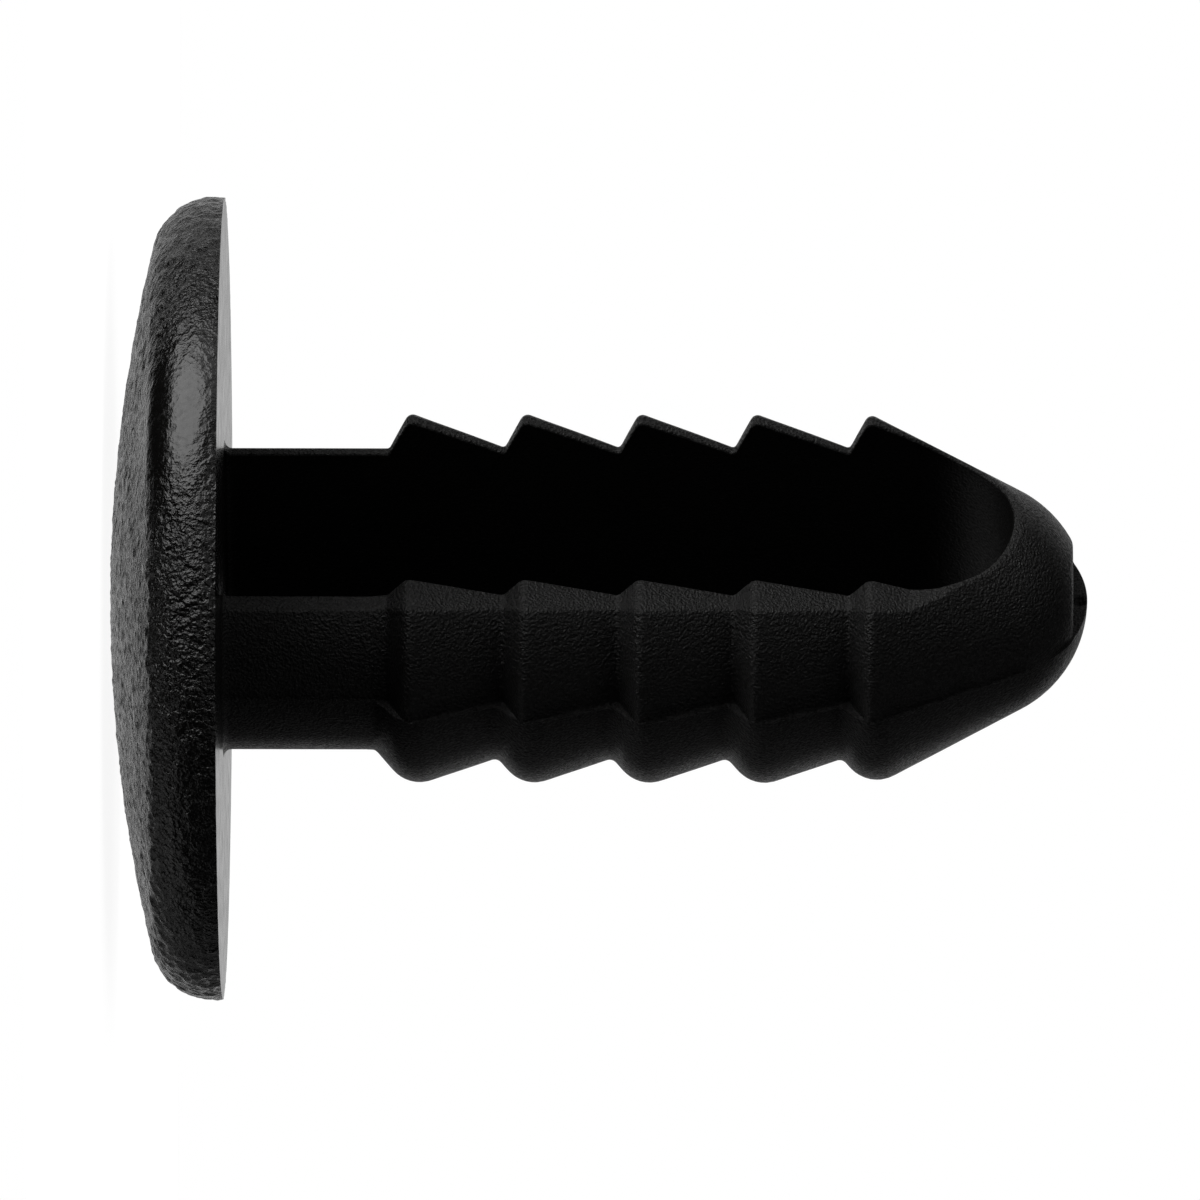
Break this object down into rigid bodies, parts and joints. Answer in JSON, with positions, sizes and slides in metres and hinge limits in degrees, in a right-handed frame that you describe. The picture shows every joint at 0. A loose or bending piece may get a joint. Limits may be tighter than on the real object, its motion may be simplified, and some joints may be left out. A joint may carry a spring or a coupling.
{
  "type": "body hole plug",
  "caption": "Push-in hole plug moulded in one piece: domed round head, slotted stem with saw-tooth barbs and a blunt nose that springs into a panel hole.",
  "frame": {"origin": "lowest point of the dome, on the stem's axis, where the plug stands on its head", "axes": "+Z along the stem from head to nose; the slot runs through along Y, and the two legs stand at -X and +X, the +X leg with its blunt edge towards -Y"},
  "size_m": [0.019, 0.019, 0.023],
  "materials": {
    "black_nylon": "black moulded nylon, pebbled on the domed head and fine-grained on the stem"
  },
  "bodies": {
    "root": {"hole_plug": "black_nylon"}
  },
  "joints": []
}
